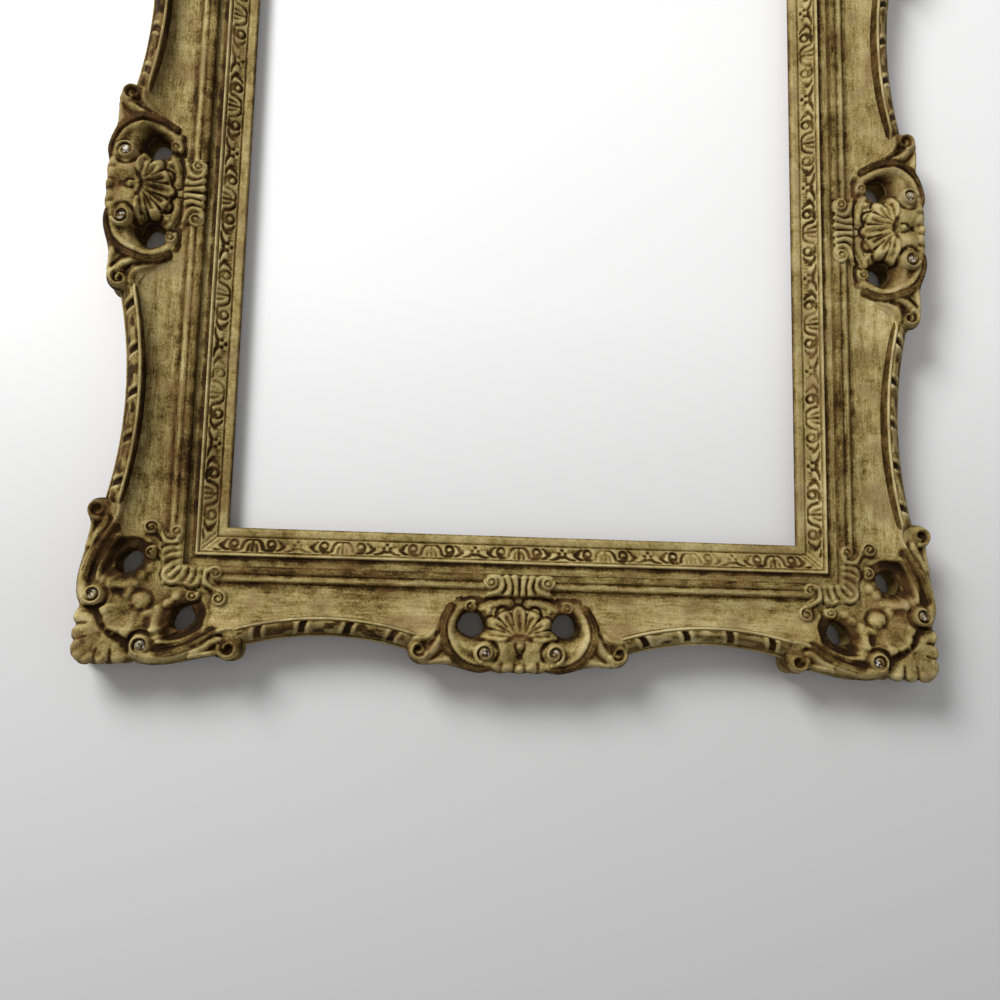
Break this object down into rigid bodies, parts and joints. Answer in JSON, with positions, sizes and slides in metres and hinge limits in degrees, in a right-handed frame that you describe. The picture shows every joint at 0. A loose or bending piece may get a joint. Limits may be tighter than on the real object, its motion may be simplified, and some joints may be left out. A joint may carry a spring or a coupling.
{
  "type": "ornate picture frame",
  "caption": "Swept rectangular picture frame with pierced scroll corners and shell centres, carved sight band, rope edges, rear turn buttons and hanging rings.",
  "frame": {"origin": "middle of the back, on the plane that the frame lies on", "axes": "+X across the width, +Y up the height, +Z out of the carved face"},
  "size_m": [0.407, 0.454, 0.028],
  "materials": {
    "rail_finish": "cream and ochre wash over gesso on wood, rubbed, with umber toning",
    "ornament_finish": "cast composition ornament, cream and ochre wash with umber in the hollows",
    "key_wood": "bare hardwood",
    "button_metal": "zinc-plated, dulled",
    "hanger_metal": "nickel-plated, dulled",
    "screw_metal": "zinc-plated, dulled"
  },
  "bodies": {
    "frame": {"centre_ornament_bottom": "ornament_finish", "centre_ornament_left": "ornament_finish", "centre_ornament_right": "ornament_finish", "centre_ornament_top": "ornament_finish", "corner_ornament_bottom_left": "ornament_finish", "corner_ornament_bottom_right": "ornament_finish", "corner_ornament_top_left": "ornament_finish", "corner_ornament_top_right": "ornament_finish", "hanger_screws": "screw_metal", "hanger_strap_left": "hanger_metal", "hanger_strap_right": "hanger_metal", "mitre_key_bottom_left": "key_wood", "mitre_key_bottom_right": "key_wood", "mitre_key_top_left": "key_wood", "mitre_key_top_right": "key_wood", "rail_bottom": "rail_finish", "rail_left": "rail_finish", "rail_right": "rail_finish", "rail_top": "rail_finish", "rope_edge_bottom_left": "ornament_finish", "rope_edge_bottom_right": "ornament_finish", "rope_edge_left_lower": "ornament_finish", "rope_edge_left_upper": "ornament_finish", "rope_edge_right_lower": "ornament_finish", "rope_edge_right_upper": "ornament_finish", "rope_edge_top_left": "ornament_finish", "rope_edge_top_right": "ornament_finish", "sight_band_bottom": "ornament_finish", "sight_band_left": "ornament_finish", "sight_band_right": "ornament_finish", "sight_band_top": "ornament_finish", "turn_button_screws": "screw_metal"},
    "hanging_ring_left": {"hanging_ring_left": "hanger_metal"},
    "hanging_ring_right": {"hanging_ring_right": "hanger_metal"},
    "turn_button_bottom": {"turn_button_bottom": "button_metal"},
    "turn_button_left_lower": {"turn_button_left_lower": "button_metal"},
    "turn_button_left_upper": {"turn_button_left_upper": "button_metal"},
    "turn_button_right_lower": {"turn_button_right_lower": "button_metal"},
    "turn_button_right_upper": {"turn_button_right_upper": "button_metal"},
    "turn_button_top": {"turn_button_top": "button_metal"}
  },
  "joints": [
    {"name": "hanging_ring_left_swing", "type": "hinge", "parent": "frame", "child": "hanging_ring_left", "pos_m": [-0.1635, 0.074, 0.0035], "axis": [-1, 0, 0], "range_deg": [0, 120]},
    {"name": "hanging_ring_right_swing", "type": "hinge", "parent": "frame", "child": "hanging_ring_right", "pos_m": [0.1635, 0.074, 0.0035], "axis": [-1, 0, 0], "range_deg": [0, 120]},
    {"name": "turn_button_bottom_pivot", "type": "hinge", "parent": "frame", "child": "turn_button_bottom", "pos_m": [0, -0.178, 0.0024], "axis": [0, 0, -1], "range_deg": [0, 90]},
    {"name": "turn_button_left_lower_pivot", "type": "hinge", "parent": "frame", "child": "turn_button_left_lower", "pos_m": [-0.1545, -0.116, 0.0024], "axis": [0, 0, -1], "range_deg": [0, 90]},
    {"name": "turn_button_left_upper_pivot", "type": "hinge", "parent": "frame", "child": "turn_button_left_upper", "pos_m": [-0.1545, 0.116, 0.0024], "axis": [0, 0, -1], "range_deg": [0, 90]},
    {"name": "turn_button_right_lower_pivot", "type": "hinge", "parent": "frame", "child": "turn_button_right_lower", "pos_m": [0.1545, -0.116, 0.0024], "axis": [0, 0, -1], "range_deg": [0, 90]},
    {"name": "turn_button_right_upper_pivot", "type": "hinge", "parent": "frame", "child": "turn_button_right_upper", "pos_m": [0.1545, 0.116, 0.0024], "axis": [0, 0, -1], "range_deg": [0, 90]},
    {"name": "turn_button_top_pivot", "type": "hinge", "parent": "frame", "child": "turn_button_top", "pos_m": [0, 0.178, 0.0024], "axis": [0, 0, -1], "range_deg": [0, 90]}
  ]
}
